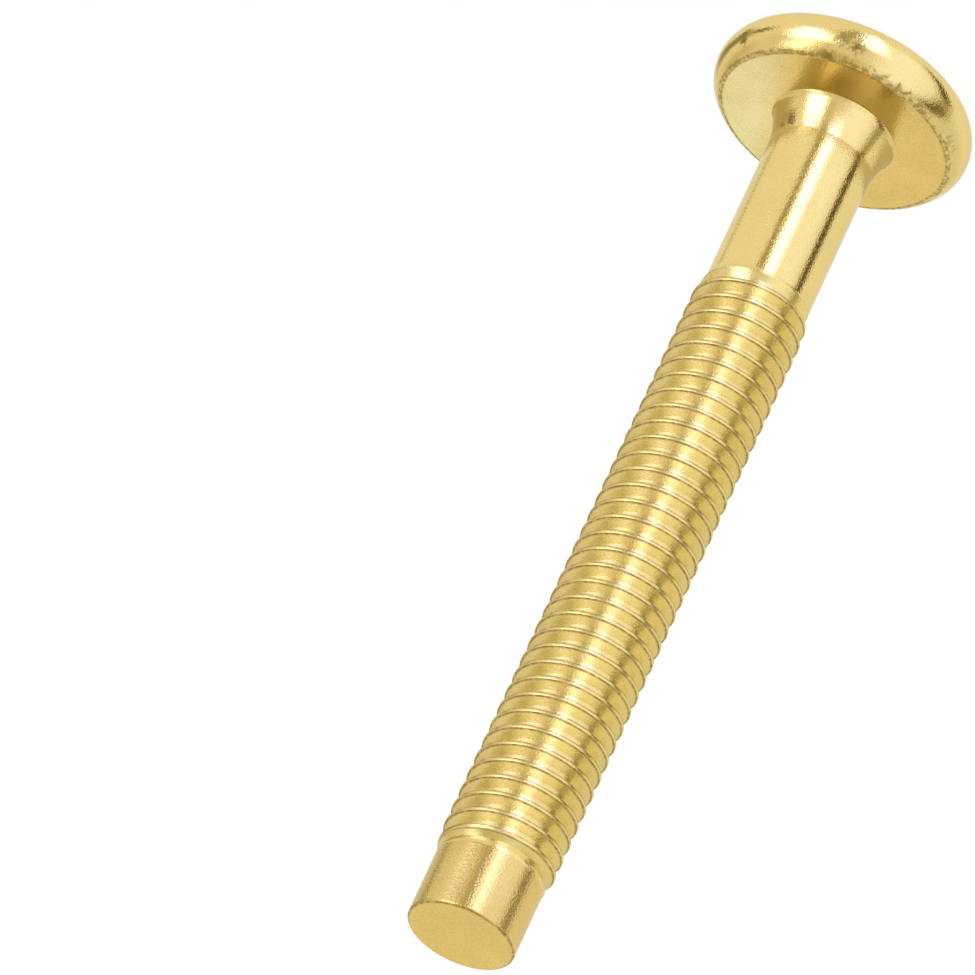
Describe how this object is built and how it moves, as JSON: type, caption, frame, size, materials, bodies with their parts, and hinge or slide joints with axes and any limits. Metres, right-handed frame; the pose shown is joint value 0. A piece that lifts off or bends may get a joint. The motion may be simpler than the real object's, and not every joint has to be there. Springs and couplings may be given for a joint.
{
  "type": "furniture screw",
  "caption": "Yellow-plated steel connector screw for flat-pack furniture: thin disc head with a hex socket, flared neck, smooth shank, right-hand machine thread and plain dog point.",
  "frame": {"origin": "centre of the outer face of the head, on the screw's axis", "axes": "+Z along the screw's axis from the head to the tip, so the screw stands on its head"},
  "size_m": [0.0137, 0.0136, 0.0531],
  "materials": {
    "plating": "bright yellow brass plating on steel, polished on the shank and rim, satin on the flat faces, finely speckled along the edges"
  },
  "bodies": {
    "root": {"screw": "plating"}
  },
  "joints": []
}
